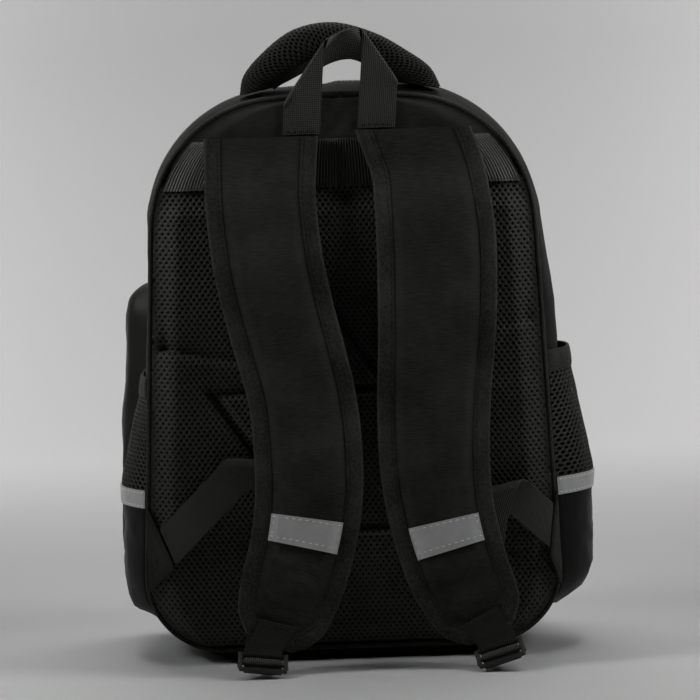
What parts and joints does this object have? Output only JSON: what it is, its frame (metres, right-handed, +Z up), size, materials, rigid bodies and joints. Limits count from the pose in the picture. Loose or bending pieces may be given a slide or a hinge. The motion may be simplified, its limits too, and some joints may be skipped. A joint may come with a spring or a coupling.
{
  "type": "school backpack",
  "caption": "Soft school backpack with padded shoulder straps, air-mesh back, carrying handle, hang loop, net side pockets and a rounded front pocket.",
  "frame": {"origin": "on the floor, under the middle of the main compartment", "axes": "+Z up, -Y towards the shoulder straps, +Y towards the front pocket, +X to the right as the straps are looked at"},
  "size_m": [0.3306, 0.2429, 0.4285],
  "materials": {
    "polyester": "matt woven polyester",
    "satin": "smooth coated cloth with a soft sheen",
    "air_mesh": "spacer mesh with open cells",
    "webbing": "woven webbing",
    "binding": "twill binding tape",
    "reflective": "grey reflective tape",
    "plastic": "moulded black plastic",
    "zip_metal": "black lacquer"
  },
  "bodies": {
    "root": {"back_pad": "air_mesh", "back_yoke": "polyester", "yoke_band": "webbing", "back_piping": "binding", "bottom_gusset": "polyester", "top_gusset_rear": "polyester", "top_gusset_front": "polyester", "main_zip": "webbing", "front_panel": "polyester", "front_piping": "binding", "front_pocket_gusset": "satin", "front_pocket_zip": "webbing", "front_pocket_face": "satin", "pocket_base_left": "polyester", "pocket_net_left": "air_mesh", "pocket_binding_left": "binding", "pocket_reflector_left": "reflective", "pocket_base_right": "polyester", "pocket_net_right": "air_mesh", "pocket_binding_right": "binding", "pocket_reflector_right": "reflective", "strap_pad_left": "polyester", "strap_binding_left": "binding", "strap_reflector_left": "reflective", "strap_tab_left": "webbing", "strap_buckle_left": "plastic", "adjuster_webbing_left": "webbing", "wing_left": "polyester", "strap_pad_right": "polyester", "strap_binding_right": "binding", "strap_reflector_right": "reflective", "strap_tab_right": "webbing", "strap_buckle_right": "plastic", "adjuster_webbing_right": "webbing", "wing_right": "polyester", "handle_pad": "air_mesh", "hang_loop": "webbing", "main_zip_slider": "zip_metal", "front_zip_slider": "zip_metal"}
  },
  "joints": []
}
